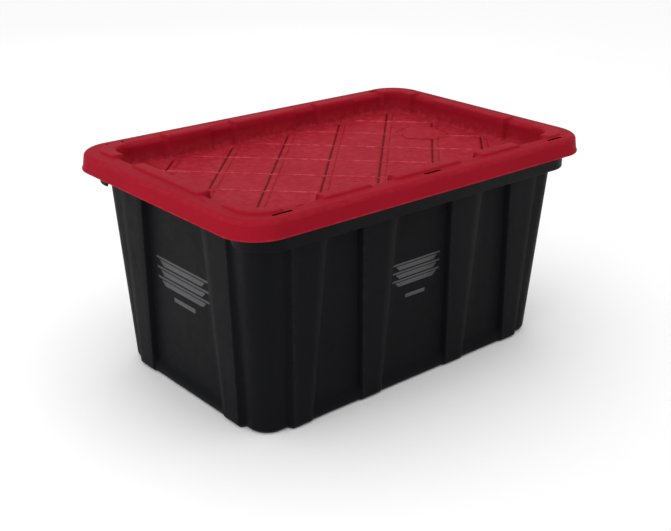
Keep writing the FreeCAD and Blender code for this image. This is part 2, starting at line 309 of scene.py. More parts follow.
def prism(outline: list[tuple[float, float]], low: float, high: float,
          bevel: float = 0.0) -> tuple[np.ndarray, list[tuple[int, ...]]]:
    """Upright prism over an outline, with its top edge drawn in.

    Args:
        outline: corner points, anticlockwise seen from above.
        low: height of the foot.
        high: height of the top.
        bevel: how far the top edge is drawn in and down.

    Returns:
        The points and the faces.
    """
    ring = np.array(outline, float)
    rows = [np.c_[ring, np.full(len(ring), low)]]
    if bevel:
        centre = ring.mean(axis=0)
        away = ring - centre
        size = np.linalg.norm(away, axis=1, keepdims=True)
        rows.append(np.c_[ring, np.full(len(ring), high - bevel)])
        rows.append(np.c_[centre + away * (1.0 - bevel / size), np.full(len(ring), high)])
    else:
        rows.append(np.c_[ring, np.full(len(ring), high)])
    return skin_rows(rows)


def merged(parts: list[tuple[np.ndarray, list[tuple[int, ...]]]]) -> tuple[np.ndarray, list[tuple[int, ...]]]:
    """Put several point-and-face sets into one.

    Args:
        parts: the point-and-face sets.

    Returns:
        One set of points and faces.
    """
    points, faces, base = [], [], 0
    for pts, fcs in parts:
        points.append(pts)
        faces += [tuple(i + base for i in f) for f in fcs]
        base += len(pts)
    return np.concatenate(points), faces


def rounded_box(half: tuple[float, float], radius: float, steps: int = 5) -> list[tuple[float, float]]:
    """Anticlockwise outline of a rounded rectangle about the origin.

    Args:
        half: half-length and half-width.
        radius: corner radius.
        steps: points in each corner.

    Returns:
        The outline.
    """
    points = []
    for quarter, (sx, sy) in enumerate(((1, 1), (-1, 1), (-1, -1), (1, -1))):
        centre = (sx * (half[0] - radius), sy * (half[1] - radius))
        points += arc(centre, radius, quarter * 90.0, quarter * 90.0 + 90.0, steps)
    return points


def moved(outline: list[tuple[float, float]], x: float, y: float,
          turn: float = 0.0) -> list[tuple[float, float]]:
    """Outline turned by an angle in degrees and then shifted."""
    c, s = math.cos(math.radians(turn)), math.sin(math.radians(turn))
    return [(x + px * c - py * s, y + px * s + py * c) for px, py in outline]


def carve(obj: bpy.types.Object, cutter: bpy.types.Object, operation: str) -> None:
    """Apply a boolean to an object and remove the cutter.

    Args:
        obj: the object that is changed.
        cutter: the tool object.
        operation: DIFFERENCE or UNION.
    """
    step = obj.modifiers.new("carve", "BOOLEAN")
    step.object = cutter
    step.operation = operation
    step.solver = "EXACT"
    graph = bpy.context.evaluated_depsgraph_get()
    mesh = bpy.data.meshes.new_from_object(obj.evaluated_get(graph))
    obj.modifiers.remove(step)
    old = obj.data
    obj.data = mesh
    bpy.data.meshes.remove(old)
    bpy.data.objects.remove(cutter)


# ---------------------------------------------------------------- finishes


class Nodes:
    """Small builder for a material's node tree."""

    def __init__(self, name: str) -> None:
        """Start an empty material with its output and main shader.

        Args:
            name: material name.
        """
        self.material = bpy.data.materials.new(name)
        self.material.use_nodes = True
        self.tree = self.material.node_tree
        self.tree.nodes.clear()
        self.output = self.add("ShaderNodeOutputMaterial")
        self.shader = self.add("ShaderNodeBsdfPrincipled")
        self.link(self.shader.outputs["BSDF"], self.output.inputs["Surface"])

    def add(self, kind: str, **values: object) -> bpy.types.Node:
        """New node with its attributes set.

        Args:
            kind: node type.
            **values: attributes to set.

        Returns:
            The new node.
        """
        node = self.tree.nodes.new(kind)
        for key, value in values.items():
            setattr(node, key, value)
        return node

    def link(self, out: bpy.types.NodeSocket, into: bpy.types.NodeSocket) -> None:
        """Join two sockets."""
        self.tree.links.new(out, into)

    def noise(self, vector: bpy.types.NodeSocket, scale: float, detail: float = 3.0,
              rough: float = 0.5, distortion: float = 0.0) -> bpy.types.NodeSocket:
        """Noise height at a scale per metre.

        Args:
            vector: coordinates.
            scale: scale per metre.
            detail: octaves.
            rough: how strong the fine octaves are.
            distortion: how far the noise is bent.

        Returns:
            The height.
        """
        node = self.add("ShaderNodeTexNoise")
        node.inputs["Scale"].default_value = scale
        node.inputs["Detail"].default_value = detail
        node.inputs["Roughness"].default_value = rough
        node.inputs["Distortion"].default_value = distortion
        self.link(vector, node.inputs["Vector"])
        return node.outputs["Fac"]

    def scaled(self, vector: bpy.types.NodeSocket, scale: Triple, turn: float = 0.0) -> bpy.types.NodeSocket:
        """Coordinates stretched by scale after a turn about Z in degrees.

        Args:
            vector: coordinates.
            scale: stretch on each axis.
            turn: turn in degrees.

        Returns:
            The new coordinates.
        """
        node = self.add("ShaderNodeMapping")
        node.inputs["Rotation"].default_value = (0.0, 0.0, math.radians(turn))
        node.inputs["Scale"].default_value = scale
        self.link(vector, node.inputs["Vector"])
        return node.outputs["Vector"]

    def math(self, operation: str, a: object, b: object = 0.0, clamp: bool = False) -> bpy.types.NodeSocket:
        """One arithmetic step on sockets or numbers.

        Args:
            operation: name of the step.
            a: first socket or number.
            b: second socket or number.
            clamp: keep the result in 0 to 1.

        Returns:
            The result.
        """
        node = self.add("ShaderNodeMath", operation=operation, use_clamp=clamp)
        for index, value in enumerate((a, b)):
            if isinstance(value, (int, float)):
                node.inputs[index].default_value = value
            else:
                self.link(value, node.inputs[index])
        return node.outputs[0]

    def span(self, value: bpy.types.NodeSocket, low: float, high: float,
             to_low: float, to_high: float) -> bpy.types.NodeSocket:
        """Map a range of values onto another, clamped.

        Args:
            value: what is mapped.
            low: start of the range.
            high: end of the range.
            to_low: result at the start.
            to_high: result at the end.

        Returns:
            The mapped value.
        """
        node = self.add("ShaderNodeMapRange", clamp=True)
        self.link(value, node.inputs["Value"])
        for key, number in (("From Min", low), ("From Max", high), ("To Min", to_low), ("To Max", to_high)):
            node.inputs[key].default_value = number
        return node.outputs["Result"]

    def blend(self, factor: bpy.types.NodeSocket, first: object, second: object,
              mode: str = "MIX") -> bpy.types.NodeSocket:
        """Mix two colours by a factor.

        Args:
            factor: share of the second colour.
            first: colour or socket.
            second: colour or socket.
            mode: how they mix.

        Returns:
            The colour.
        """
        node = self.add("ShaderNodeMix", data_type="RGBA", blend_type=mode)
        self.link(factor, node.inputs["Factor"])
        for socket, value in ((node.inputs[6], first), (node.inputs[7], second)):
            if isinstance(value, tuple):
                socket.default_value = (*value, 1.0) if len(value) == 3 else value
            else:
                self.link(value, socket)
        return node.outputs[2]

    def attribute(self, name: str) -> bpy.types.NodeSocket:
        """Value of a mesh attribute."""
        node = self.add("ShaderNodeAttribute", attribute_name=name)
        return node.outputs["Fac"]

    def bump(self, height: bpy.types.NodeSocket, distance: float, strength: float = 1.0,
             under: bpy.types.NodeSocket | None = None) -> bpy.types.NodeSocket:
        """Bump of a given depth in metres, on top of another if given.

        Args:
            height: the relief.
            distance: its depth in metres.
            strength: its share.
            under: a normal to start from.

        Returns:
            The normal.
        """
        node = self.add("ShaderNodeBump")
        node.inputs["Strength"].default_value = strength
        node.inputs["Distance"].default_value = distance
        self.link(height, node.inputs["Height"])
        if under is not None:
            self.link(under, node.inputs["Normal"])
        return node.outputs["Normal"]


@dataclass(frozen=True)
class MouldedPlastic:
    """Injection-moulded polypropylene with a fine eroded grain."""

    name: str
    colour: Triple
    deep: Triple
    worn_and_highlit: Triple
    roughness: float
    specular: float = 0.35
    grain: float = 2200.0
    grain_depth: float = 0.00003
    ripple: bool = False

    def material(self) -> bpy.types.Material:
        """Build the finish.

        Returns:
            A material whose colour, gloss and relief come from nodes.
        """
        n = Nodes(self.name)
        where = n.add("ShaderNodeTexCoord").outputs["Object"]
        cloud = n.noise(where, 6.0, 4.0, 0.55)
        mottle = n.noise(where, 90.0, 3.0, 0.6)
        flow = n.noise(n.scaled(where, (26.0, 26.0, 2.2)), 1.0, 3.0, 0.55)
        base = n.blend(n.span(cloud, 0.35, 0.7, 0.0, 0.6), self.colour, self.deep)
        base = n.blend(n.span(flow, 0.55, 0.75, 0.0, 0.14), base, self.deep)
        # lighter colour along the stored mask: partly scuffing, partly painted highlight on the tub's
        # pilaster edges and the lid's ridge crowns
        wear_and_highlight = n.attribute("wear_and_highlight")
        rub_and_highlight = n.math("MULTIPLY", wear_and_highlight, n.span(mottle, 0.42, 0.62, 0.25, 1.0), clamp=True)
        base = n.blend(rub_and_highlight, base, self.worn_and_highlit)
        # painted shade: the panel's cuts and the tie-slot walls are mixed towards a near-black red
        cut_shade = n.attribute("cut_shade")
        shade = tuple(c * 0.16 for c in self.deep)
        base = n.blend(n.math("MULTIPLY", cut_shade, 0.9), base, shade)
        n.link(base, n.shader.inputs["Base Color"])
        gloss = n.span(mottle, 0.3, 0.7, self.roughness - 0.05, self.roughness + 0.06)
        gloss = n.math("ADD", gloss, n.span(cloud, 0.3, 0.7, -0.03, 0.04))
        gloss = n.math("ADD", gloss, n.math("MULTIPLY", rub_and_highlight, 0.05))
        n.link(gloss, n.shader.inputs["Roughness"])
        n.shader.inputs["IOR"].default_value = 1.49
        n.shader.inputs["Specular IOR Level"].default_value = self.specular
        normal = n.bump(n.noise(where, self.grain, 2.0, 0.6), self.grain_depth, 0.6)
        normal = n.bump(n.noise(where, 38.0, 2.0, 0.5), 0.00025, 0.25, under=normal)
        if self.ripple:
            normal = self._ripple(n, where, normal)
        n.link(normal, n.shader.inputs["Normal"])
        return n.material

    def _ripple(self, n: Nodes, where: bpy.types.NodeSocket,
                under: bpy.types.NodeSocket) -> bpy.types.NodeSocket:
        """Fine streaked grain that only the panel carries.

        Args:
            n: the node builder.
            where: coordinates.
            under: the normal to start from.

        Returns:
            The normal.
        """
        grain = n.noise(n.scaled(where, (90.0, 900.0, 90.0), 45.0), 1.0, 2.0, 0.6)
        height = n.math("MULTIPLY", grain, n.attribute("panel"))
        return n.bump(height, 0.00025, 0.6, under=under)


@dataclass(frozen=True)
class StampedFilm:
    """Dark hot-stamped film, thin over the plastic's grain."""

    name: str
    colour: Triple
    thin: Triple

    def material(self) -> bpy.types.Material:
        """Build the finish.

        Returns:
            A material with patches where the film is rubbed thin.
        """
        n = Nodes(self.name)
        where = n.add("ShaderNodeTexCoord").outputs["Object"]
        patch = n.noise(where, 160.0, 4.0, 0.65)
        speck = n.noise(where, 1400.0, 2.0, 0.6)
        base = n.blend(n.span(patch, 0.5, 0.68, 0.0, 0.7), self.colour, self.thin)
        n.link(base, n.shader.inputs["Base Color"])
        n.link(n.span(speck, 0.3, 0.7, 0.38, 0.56), n.shader.inputs["Roughness"])
        n.link(n.bump(speck, 0.00002, 0.6), n.shader.inputs["Normal"])
        return n.material


@dataclass(frozen=True)
class StudioPaper:
    """Seamless pale paper for the floor."""

    name: str
    colour: Triple

    def material(self) -> bpy.types.Material:
        """Build the finish.

        Returns:
            The material.
        """
        n = Nodes(self.name)
        where = n.add("ShaderNodeTexCoord").outputs["Object"]
        fibre = n.noise(where, 30.0, 3.0, 0.5)
        light = tuple(min(1.0, c * 1.01) for c in self.colour)
        n.link(n.blend(fibre, self.colour, light), n.shader.inputs["Base Color"])
        n.shader.inputs["Roughness"].default_value = 0.9
        return n.material


# ---------------------------------------------------------------- tub


@dataclass
class Tub:
    """Drafted tub: rounded foot, set-back panels between pilasters and a turned-down rim."""

    foot_half: tuple[float, float] = (335.0, 211.0)
    draft: tuple[float, float] = (19.0, 15.0)
    corner: float = 36.0
    rim_top: float = 385.0
    wall: float = 2.4
    floor: float = 3.2
    base_round: float = 9.0
    panel_in: tuple[float, float] = (11.5, 13.0)
    corner_in: tuple[float, float] = (10.0, 5.0)
    ring_in: float = 3.0
    ring_top: tuple[float, float] = (12.0, 30.0)
    lip_half: tuple[float, float] = (359.5, 245.0)
    lip_corner: float = 55.0
    lip_drop: float = 53.0
    grip_drop: float = 32.0
    grip_half: float = 176.0
    roll_out: float = 4.6
    slot_x: float = 308.0
    slot_y: float = 235.5
    slot_half: tuple[float, float] = (23.0, 6.0)
    web_half: float = 1.3
    web_rise: float = 8.0
    web_roots: tuple[tuple[float, float], ...] = ((34.2, 211.8), (174.0, 211.8), (246.3, 224.8))
    end_web_roots: tuple[tuple[float, float], ...] = ((39.9, 339.8), (118.1, 352.8))
    # the lighter grey serves the scuffed foot and rim and the painted highlight lines on the pilaster edges
    finish: MouldedPlastic = MouldedPlastic(
        "tub_black_plastic", colour=(0.0052, 0.0054, 0.0064), deep=(0.0038, 0.0040, 0.0048),
        worn_and_highlit=(0.016, 0.016, 0.018), roughness=0.46, specular=0.045)
    path: Path = field(init=False)

    def __post_init__(self) -> None:
        """Set the stations out: weights are (panel, corner column, unused)."""
        panel, flush, column = (1.0, 0.0, 0.0), (0.0, 0.0, 0.0), (0.0, 1.0, 0.0)
        self.path = Path(
            long_edges=[Edge(77.5, 58.0, panel, flush), Edge(123.0, 142.5, flush, panel),
                        Edge(229.5, 205.5, panel, flush), Edge(270.5, 286.5, flush, column)],
            end_edges=[Edge(105.5, 82.5, panel, flush), Edge(150.5, 154.5, flush, column)],
            corner=column, middle=panel, run=6.0)

    def wall_row(self, z: float, skin: float = 0.0, squeeze: float = 0.0) -> np.ndarray:
        """Row on the stepped wall.

        Args:
            z: height of the row.
            skin: inward offset, 0 on the outside and the wall's thickness inside.
            squeeze: further inward move, for rounded feet and edges.

        Returns:
            The row's points.
        """
        part = min(z, self.rim_top) / self.rim_top
        panel = self.panel_in[0] + (self.panel_in[1] - self.panel_in[0]) * part
        fade = ramp((z - self.ring_top[0]) / (self.ring_top[1] - self.ring_top[0]), 0.4)
        panel = self.ring_in + (panel - self.ring_in) * fade
        column = self.corner_in[0] + (self.corner_in[1] - self.corner_in[0]) * part
        weight = self.path.weight
        inset = weight[:, 0] * panel + weight[:, 1] * column
        half = tuple(h + d * part - skin - squeeze for h, d in zip(self.foot_half, self.draft))
        return self.path.ring(half, self.corner + column - skin - squeeze, z, inset, part)

    def lip_row(self, out: float, z: float, lift: float = 0.0) -> np.ndarray:
        """Row on the turned-down lip.

        Args:
            out: how far the row stands outside the lip's face.
            z: height of the row.
            lift: share of the hand-grip rise that this row takes.

        Returns:
            The row's points.
        """
        half = (self.lip_half[0] + out, self.lip_half[1] + out)
        row = self.path.ring(half, self.lip_corner + out, z)
        if lift:
            rise = self.lip_drop - self.grip_drop
            for k in np.nonzero(self.path.side % 2 == 1)[0]:
                gap = abs(row[k, 1]) - (self.grip_half - 7.0)
                if np.isnan(self.path.angle[k]):
                    row[k, 2] += rise * lift * (1.0 - ramp(gap / 14.0, 0.35))
        return row

    def rows(self) -> list[np.ndarray]:
        """All rows, from under the foot, up the outside, over the rim and down inside.

        Returns:
            The rows, in order.
        """
        rows = [self.wall_row(1.6, squeeze=34.0), self.wall_row(1.6, squeeze=31.0),
                self.wall_row(1.1, squeeze=29.0), self.wall_row(0.0, squeeze=26.0),
                self.wall_row(0.0, squeeze=self.base_round + 2.0)]
        r = self.base_round
        for turn in np.radians(np.linspace(0, 90, 9)):
            rows.append(self.wall_row(r * (1 - math.cos(turn)), squeeze=r * (1 - math.sin(turn))))
        levels = [*np.linspace(r, self.ring_top[1] + 2.0, 10)[1:], *np.linspace(44.0, self.rim_top - 7.0, 12)]
        rows += [self.wall_row(z) for z in levels]
        under = self.rim_top - self.wall
        rows += [self.wall_row(under - 2.2, squeeze=-0.3), self.wall_row(under - 0.7, squeeze=-1.2),
                 self.wall_row(under, squeeze=-2.8)]
        t, foot = self.wall, self.rim_top - self.lip_drop
        rows += [self.lip_row(-t - 3.0, under), self.lip_row(-t - 0.8, under - 0.8),
                 self.lip_row(-t, under - 3.0), self.lip_row(-t, under - 8.0)]
        rows += [self.lip_row(-t, foot + 1.2, 1.0), self.lip_row(-t * 0.75, foot + 0.3, 1.0),
                 self.lip_row(-t * 0.5, foot, 1.0), self.lip_row(-t * 0.2, foot + 0.3, 1.0),
                 self.lip_row(0.0, foot + 1.2, 1.0)]
        roll = self.rim_top - 11.0
        rows += [self.lip_row(0.0, roll - 2.0), self.lip_row(0.6, roll - 0.6),
                 self.lip_row(self.roll_out - 1.4, roll + 0.4), self.lip_row(self.roll_out - 0.3, roll + 1.2),
                 self.lip_row(self.roll_out, roll + 2.4), self.lip_row(self.roll_out, self.rim_top - 2.0),
                 self.lip_row(self.roll_out - 0.6, self.rim_top - 0.6),
                 self.lip_row(self.roll_out - 2.0, self.rim_top), self.lip_row(0.0, self.rim_top)]
        rows += [self.wall_row(self.rim_top, t, -1.0), self.wall_row(self.rim_top - 0.3, t, -0.3),
                 self.wall_row(self.rim_top - 1.2, t)]
        rows += [self.wall_row(z, t) for z in [*np.linspace(self.rim_top - 8.0, 44.0, 10),
                                               *np.linspace(32.0, self.floor + r - t, 8)]]
        for turn in np.radians(np.linspace(90, 0, 6)[1:]):
            curve = r - t
            rows.append(self.wall_row(self.floor + curve * (1 - math.cos(turn)), t,
                                      curve * (1 - math.sin(turn))))
        rows.append(self.wall_row(self.floor, t, r + 2.0))
        return rows

    def build(self) -> bpy.types.Object:
        """Mesh the tub, cut its tie slots and dress it.

        Returns:
            The finished tub.
        """
        rows = self.rows()
        points, faces = skin_rows(rows)
        tub = mesh_object("tub_shell", points, faces, crease=50.0)
        slot = rounded_box(self.slot_half, self.slot_half[1] - 0.1)
        cutters = [prism(moved(slot, x, y), self.rim_top - 12.0, self.rim_top + 4.0)
                   for x in (-self.slot_x, 0.0, self.slot_x) for y in (-self.slot_y, self.slot_y)]
        carve(tub, mesh_object("slot_cutter", *merged(cutters)), "DIFFERENCE")
        join(tub.data, *self.webs())
        smooth(tub.data, 50.0)
        self._mark_wear_and_highlights(tub.data)
        tub.data.materials.clear()
        tub.data.materials.append(self.finish.material())
        return tub

    def webs(self) -> tuple[np.ndarray, list[tuple[int, ...]]]:
        """Thin upright webs that tie the lip to the wall.

        Returns:
            The points and faces.
        """
        parts, top = [], self.rim_top - self.wall / 2
        for x, root in self.web_roots:
            reach = self.lip_half[1] - self.wall / 2
            w = self.web_half
            outline = [(-w, root), (w, root), (w, reach), (-w, reach)]
            parts += [prism(moved(outline, side * x, 0.0, turn), top - self.lip_drop + self.web_rise, top)
                      for side in (-1, 1) for turn in (0.0, 180.0)]
        for y, root in self.end_web_roots:
            reach = self.lip_half[0] - self.wall / 2
            w = self.web_half
            outline = [(-w, root), (w, root), (w, reach), (-w, reach)]
            parts += [prism(moved(outline, 0.0, side * y, turn), top - self.grip_drop + self.web_rise, top)
                      for side in (-1, 1) for turn in (90.0, -90.0)]
        return merged(parts)

    def _mark_wear_and_highlights(self, mesh: bpy.types.Mesh) -> None:
        """Store where the foot and the rim are scuffed, and paint highlight lines along the pilaster edges.

        Args:
            mesh: the tub mesh.
        """
        co = np.empty(len(mesh.vertices) * 3)
        mesh.vertices.foreach_get("co", co)
        co = co.reshape(-1, 3) / MM
        z = co[:, 2]
        wear_and_highlight = np.where(z < 7.0, 0.8, 0.0) + np.where(z > self.rim_top - 2.5, 0.5, 0.0)
        part = np.clip(z / self.rim_top, 0.0, 1.0)
        # painted highlight: thin lighter lines along the pilasters' outer edges
        for axis, edges in ((0, self.path.long_edges), (1, self.path.end_edges)):
            face = self.foot_half[1 - axis] + self.draft[1 - axis] * part
            outside = (np.abs(co[:, 1 - axis]) > face - 2.0) & (np.abs(co[:, 1 - axis]) < face + 0.5)
            for edge in edges:
                flush = self.path.run / 2 * (1.0 if edge.before[0] else -1.0)
                place = edge.foot + (edge.rim - edge.foot) * part + flush
                line = np.clip(1.0 - np.abs(np.abs(co[:, axis]) - place) / 2.0, 0.0, 1.0)
                wear_and_highlight = np.maximum(wear_and_highlight, 0.55 * line * outside)
        store(mesh, "wear_and_highlight", wear_and_highlight)
        store(mesh, "cut_shade", np.zeros(len(z)))
        store(mesh, "panel", np.zeros(len(z)))


def join(mesh: bpy.types.Mesh, points: np.ndarray, faces: list[tuple[int, ...]]) -> None:
    """Add closed parts, given in millimetres, to a mesh.

    Args:
        mesh: the mesh that is added to.
        points: the points in millimetres.
        faces: the faces.
    """
    bm = bmesh.new()
    bm.from_mesh(mesh)
    verts = [bm.verts.new(p) for p in (points * MM).tolist()]
    fresh = [bm.faces.new([verts[i] for i in face]) for face in faces]
    bmesh.ops.recalc_face_normals(bm, faces=fresh)
    bm.to_mesh(mesh)
    bm.free()


def store(mesh: bpy.types.Mesh, name: str, values: np.ndarray, domain: str = "POINT") -> None:
    """Keep one value for each vertex, or face corner, under a name that a finish reads."""
    layer = mesh.attributes.get(name) or mesh.attributes.new(name, "FLOAT", domain)
    layer.data.foreach_set("value", np.asarray(values, np.float32))


# ---------------------------------------------------------------- lid panel


@dataclass
class Relief:
    """Lid panel drawn on a grid that follows its diagonals.

    u runs along y = x and v across it. Cuts run along u, fine ridges along v, and each
    tile between them carries a shallow chevron ripple.
    """

    ring: np.ndarray
    level: float
    start: float = 12.0 / math.sqrt(2.0)
    pitch: float = 130.0 / math.sqrt(2.0)
    edge_round: float = 19.0
    margin: float = 2.0
    fade: float = 4.0
    ripple: float = 0.5
    ripple_pitch: float = 11.0
    wave: float = 2.4
    wave_pitch: float = 21.0
    plate_at: tuple[float, float] = (252.0, 40.0)
    plate_radius: float = 45.0
    boss_at: tuple[float, float] = (-266.0, 6.0)
    u: np.ndarray = field(init=False)
    v: np.ndarray = field(init=False)

    def __post_init__(self) -> None:
        """Space the grid lines: close together at each cut and ridge."""
        lines = [self.start + k * self.pitch for k in range(-5, 6)]
        fine_u = [line + d for line in lines for d in (-3.2, -2.4, -1.6, 0.0, 1.6, 2.4, 3.2)]
        main = (-3.2, -2.4, -1.6, -0.8, 0.0, 0.8, 1.6, 2.4, 3.2)
        side = (-1.8, -1.2, -0.6, 0.0, 0.6, 1.2, 1.8)
        fine_v = [-line - 6.0 + d for line in lines for d in main]
        fine_v += [-line + 6.0 + d for line in lines for d in side]
        reach = float(np.abs(self.ring).sum(axis=1).max()) / math.sqrt(2.0)
        self.u = self._spaced(fine_u, reach, 2.2)
        self.v = self._spaced(fine_v, reach, 3.4)

    @staticmethod
    def _spaced(fine: list[float], reach: float, step: float) -> np.ndarray:
        """Grid lines that keep the fine ones and fill the rest at the step given.

        Args:
            fine: places that are kept.
            reach: half-length of the grid.
            step: widest gap.

        Returns:
            The grid lines.
        """
        fine = sorted(f for f in fine if abs(f) < reach)
        knots = [-reach, *fine, reach]
        out: list[float] = []
        for a, b in zip(knots, knots[1:]):
            count = max(1, round((b - a) / step))
            out += [a + (b - a) * k / count for k in range(count)]
        return np.array([*out, reach])

    def _depth(self, x: np.ndarray, y: np.ndarray) -> np.ndarray:
        """Distance inside the panel's edge, negative outside.

        Args:
            x: places along the bin.
            y: places across it.

        Returns:
            The distances.
        """
        half = np.abs(self.ring).max(axis=0)
        radius = self.edge_round
        qx, qy = np.abs(x) - (half[0] - radius), np.abs(y) - (half[1] - radius)
        away = np.hypot(np.maximum(qx, 0), np.maximum(qy, 0)) + np.minimum(np.maximum(qx, qy), 0)
        return radius - away

    def height(self, u: np.ndarray, v: np.ndarray) -> np.ndarray:
        """Relief over the panel's level in millimetres.

        Args:
            u: place along the cuts.
            v: place across them.

        Returns:
            Heights, one for each point.
        """
        x, y = (u + v) / math.sqrt(2.0), (u - v) / math.sqrt(2.0)
        tile_u = (u - self.start) / self.pitch
        tile_v = (v + self.start) / self.pitch
        off_u = (tile_u - np.round(tile_u)) * self.pitch
        off_v = (tile_v - np.round(tile_v)) * self.pitch
        calm = np.clip((np.abs(off_u) - 3.0) / 4.0, 0, 1) * np.clip((np.abs(off_v) - 10.0) / 4.0, 0, 1)
        share = 0.55 + 0.45 * np.sin(np.floor(tile_u) * 2.3 + np.floor(tile_v) * 4.1)
        bend = u + self.wave * np.sin(2 * math.pi * v / self.wave_pitch + np.floor(tile_u) * 1.7)
        chevron = np.sin(2 * math.pi * bend / self.ripple_pitch)
        swell = 0.5 + 0.5 * np.sin(x / 31.0 + 1.1) * np.cos(y / 23.0)
        h = self.ripple * share * (0.45 + 0.55 * swell) * calm * chevron
        plate = self._plate(x, y)
        h = h * (1 - plate)
        h += 0.8 * np.clip(2.0 - np.abs(off_u) / 1.6, 0, 1) * (1 - plate)
        cut = 1.5 * np.clip(1.6 - np.abs(off_v + 6.0) / 1.8, 0, 1)
        cut = np.maximum(cut, 0.9 * np.clip(1.5 - np.abs(off_v - 6.0) / 1.1, 0, 1))
        h -= cut * (1 - plate)
        h += 0.8 * plate - 1.6 * self._plate_line(x, y) + self._boss(x, y)
        return h * np.clip(self._depth(x, y) / self.fade - self.margin / self.fade, 0, 1)

    def _plate_reach(self, x: np.ndarray, y: np.ndarray) -> np.ndarray:
        """How far a point lies from the plate's middle, square to its nearest side.

        Args:
            x: places along the bin.
            y: places across it.

        Returns:
            The distances.
        """
        dx, dy = x - self.plate_at[0], y - self.plate_at[1]
        far = np.zeros_like(dx)
        for k in range(6):
            turn = math.radians(60 * k + 45)
            far = np.maximum(far, dx * math.cos(turn) + dy * math.sin(turn))
        return far

    def _plate(self, x: np.ndarray, y: np.ndarray) -> np.ndarray:
        """Share of a point that belongs to the plain six-sided plate."""
        return np.clip((self.plate_radius - self._plate_reach(x, y)) / 2.2, 0, 1)

    def _plate_line(self, x: np.ndarray, y: np.ndarray) -> np.ndarray:
        """Share of a point that belongs to the cut line round the plate."""
        return np.clip(1.6 - np.abs(self._plate_reach(x, y) - self.plate_radius + 1.0) / 1.8, 0, 1)

    def ridge(self, x: np.ndarray, y: np.ndarray) -> np.ndarray:
        """Share of a point that belongs to the crown of a ridge.

        Args:
            x: places along the bin.
            y: places across it.

        Returns:
            Shares from 0 to 1.
        """
        tile = ((x + y) / math.sqrt(2.0) - self.start) / self.pitch
        off = (tile - np.round(tile)) * self.pitch
        crown = np.clip(2.0 - np.abs(off) / 1.6, 0, 1)
        return crown * (1 - self._plate(x, y)) * np.clip(self._depth(x, y) / self.fade - 1.0, 0, 1)

    def _boss(self, x: np.ndarray, y: np.ndarray) -> np.ndarray:
        """Small round boss with a low ring about it.

        Args:
            x: places along the bin.
            y: places across it.

        Returns:
            Heights in millimetres.
        """
        far = np.hypot(x - self.boss_at[0], y - self.boss_at[1])
        button = np.clip((8.5 - far) / 2.0, 0, 1) * 1.8
        return button + np.clip(1 - np.abs(far - 14.0) / 2.2, 0, 1) * 0.9

    def grid(self) -> tuple[np.ndarray, list[tuple[int, ...]], np.ndarray]:
        """Cells that lie wholly inside the panel.

        Returns:
            The points, the quads and a table of which cells are kept.
        """
        uu, vv = np.meshgrid(self.u, self.v, indexing="ij")
        x, y = (uu + vv) / math.sqrt(2.0), (uu - vv) / math.sqrt(2.0)
        inside = self._depth(x, y) > self.margin
        kept = inside[:-1, :-1] & inside[1:, :-1] & inside[:-1, 1:] & inside[1:, 1:]
        z = self.level + self.height(uu, vv)
        points = np.stack([x, y, z], axis=2).reshape(-1, 3)
        index = np.arange(uu.size).reshape(uu.shape)
        a, b = index[:-1, :-1][kept], index[1:, :-1][kept]
        c, d = index[1:, 1:][kept], index[:-1, 1:][kept]
        quads = np.stack([a, d, c, b], axis=1)
        used, quads = np.unique(quads, return_inverse=True)
        return points[used], [tuple(q) for q in quads.reshape(-1, 4).tolist()], kept

    def border(self, points: np.ndarray, quads: list[tuple[int, ...]],
               kept: np.ndarray) -> tuple[np.ndarray, list[tuple[int, ...]]]:
        """Flat triangles between the grid and the panel's edge.

        Args:
            points: the grid's points.
            quads: the grid's quads.
            kept: the table of kept cells.

        Returns:
            The triangles' points and faces.
        """
        seen: dict[tuple[int, int], int] = {}
        for quad in quads:
            for k in range(4):
                key = tuple(sorted((quad[k], quad[(k + 1) % 4])))
                seen[key] = seen.get(key, 0) + 1
        rim = [key for key, times in seen.items() if times == 1]
        names = sorted({i for key in rim for i in key})
        place = {i: k for k, i in enumerate(names)}
        points[names, 2] = self.level
        count = len(self.ring)
        flat = [Vector(p) for p in self.ring] + [Vector(points[i, :2]) for i in names]
        edges = [(k, (k + 1) % count) for k in range(count)]
        edges += [(count + place[i], count + place[j]) for i, j in rim]
        out, _, faces, *_ = delaunay_2d_cdt(flat, edges, [], 1, 1e-4)
        flat_points = np.array([tuple(p) for p in out])
        middle = flat_points[np.array([f[:3] for f in faces])].mean(axis=1)
        mu = (middle[:, 0] + middle[:, 1]) / math.sqrt(2.0)
        mv = (middle[:, 0] - middle[:, 1]) / math.sqrt(2.0)
        iu = np.clip(np.searchsorted(self.u, mu) - 1, 0, kept.shape[0] - 1)
        iv = np.clip(np.searchsorted(self.v, mv) - 1, 0, kept.shape[1] - 1)
        open_cell = ~kept[iu, iv]
        chosen = [tuple(f) for f, is_open in zip(faces, open_cell) if is_open]
        return np.c_[flat_points, np.full(len(flat_points), self.level)], chosen

    def lay(self, mesh: bpy.types.Mesh) -> None:
        """Replace the flat cap at the panel's level by the relief.

        Args:
            mesh: the lid's mesh, in metres.
        """
        points, quads, kept = self.grid()
        fill_points, fill = self.border(points, quads, kept)
        all_points, all_faces = merged([(points, quads), (fill_points, fill)])
        bm = bmesh.new()
        bm.from_mesh(mesh)
        cap = max((f for f in bm.faces if abs(f.calc_center_median().z - self.level * MM) < 1e-5),
                  key=lambda f: f.calc_area())
        bmesh.ops.delete(bm, geom=[cap], context="FACES_ONLY")
        verts = [bm.verts.new(p) for p in (all_points * MM).tolist()]
        for face in all_faces:
            bm.faces.new([verts[i] for i in face])
        bmesh.ops.delete(bm, geom=[v for v in verts if not v.link_faces], context="VERTS")
        bmesh.ops.remove_doubles(bm, verts=bm.verts, dist=2e-6)
        bmesh.ops.recalc_face_normals(bm, faces=bm.faces)
        open_edges = sum(1 for e in bm.edges if len(e.link_faces) != 2)
        log.info("lid panel: %d cells, %d border triangles, %d open edges",
                 len(quads), len(fill), open_edges)
        bm.to_mesh(mesh)
        bm.free()


# ---------------------------------------------------------------- lid


